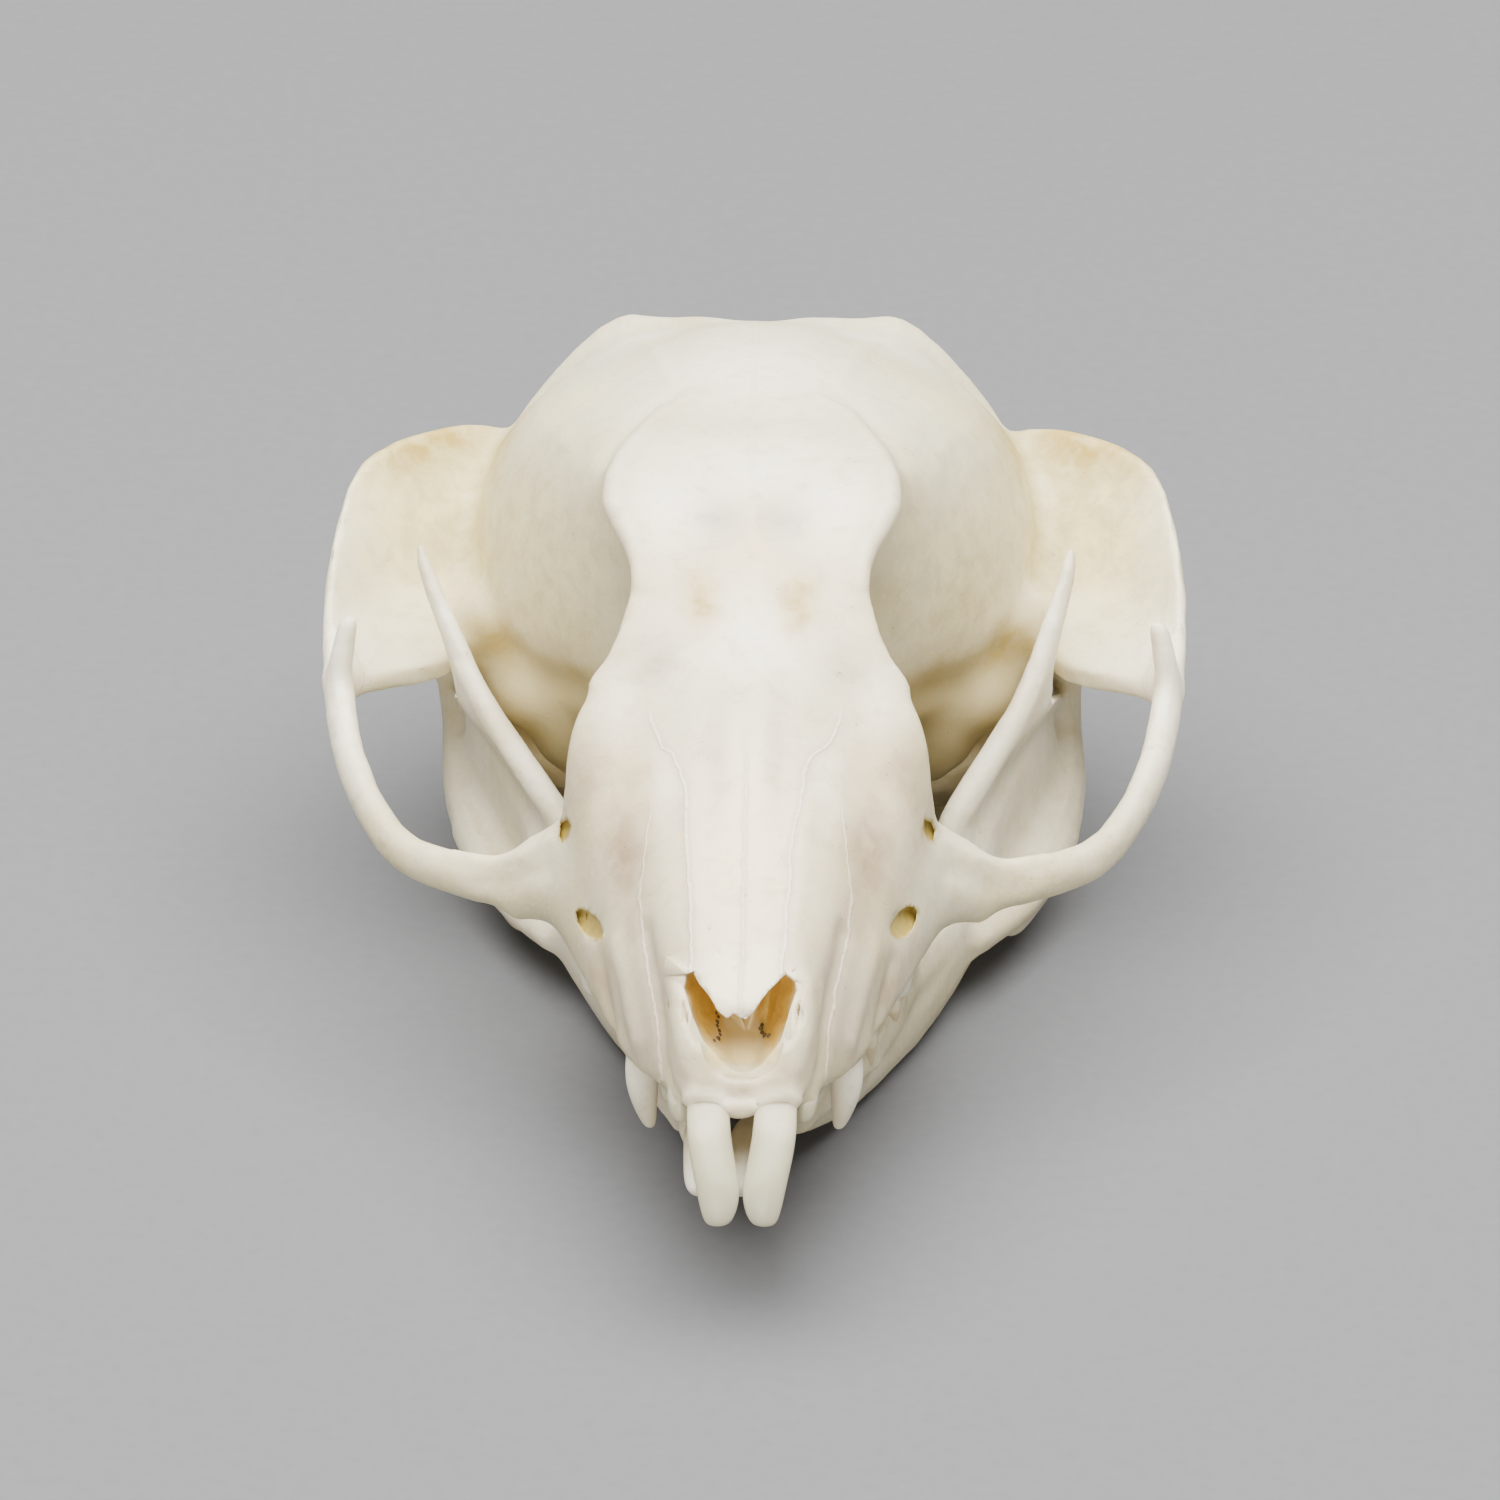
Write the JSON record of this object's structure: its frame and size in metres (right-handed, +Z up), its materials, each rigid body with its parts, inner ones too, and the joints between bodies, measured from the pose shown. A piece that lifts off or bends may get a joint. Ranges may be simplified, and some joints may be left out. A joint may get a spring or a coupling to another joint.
{
  "type": "sugar glider skull",
  "caption": "Small marsupial skull with wide cheek arches and a tapering snout, resting on its own separate jaw bones, as a still museum-type specimen.",
  "frame": {"origin": "centre of the bounding box at its lowest level, where the jaw bones stand on the floor", "axes": "+Z up; the snout points along -Y and the occiput along +Y; +X is the animal's own left"},
  "size_m": [0.0252, 0.0386, 0.0162],
  "materials": {
    "bone": "dry bleached bone, matt with a faint waxy sheen",
    "face_bone": "smooth bleached bone with a faint warm tint",
    "cheek_bone": "smooth bleached bone",
    "ear_bone": "thin yellowish bone, slightly translucent",
    "jaw_bone": "smooth bleached bone"
  },
  "bodies": {
    "root": {"braincase": "bone", "snout": "face_bone", "jugal_left": "cheek_bone", "jugal_right": "cheek_bone", "bulla_left": "ear_bone", "bulla_right": "ear_bone", "dentary_left": "jaw_bone", "dentary_right": "jaw_bone"}
  },
  "joints": []
}
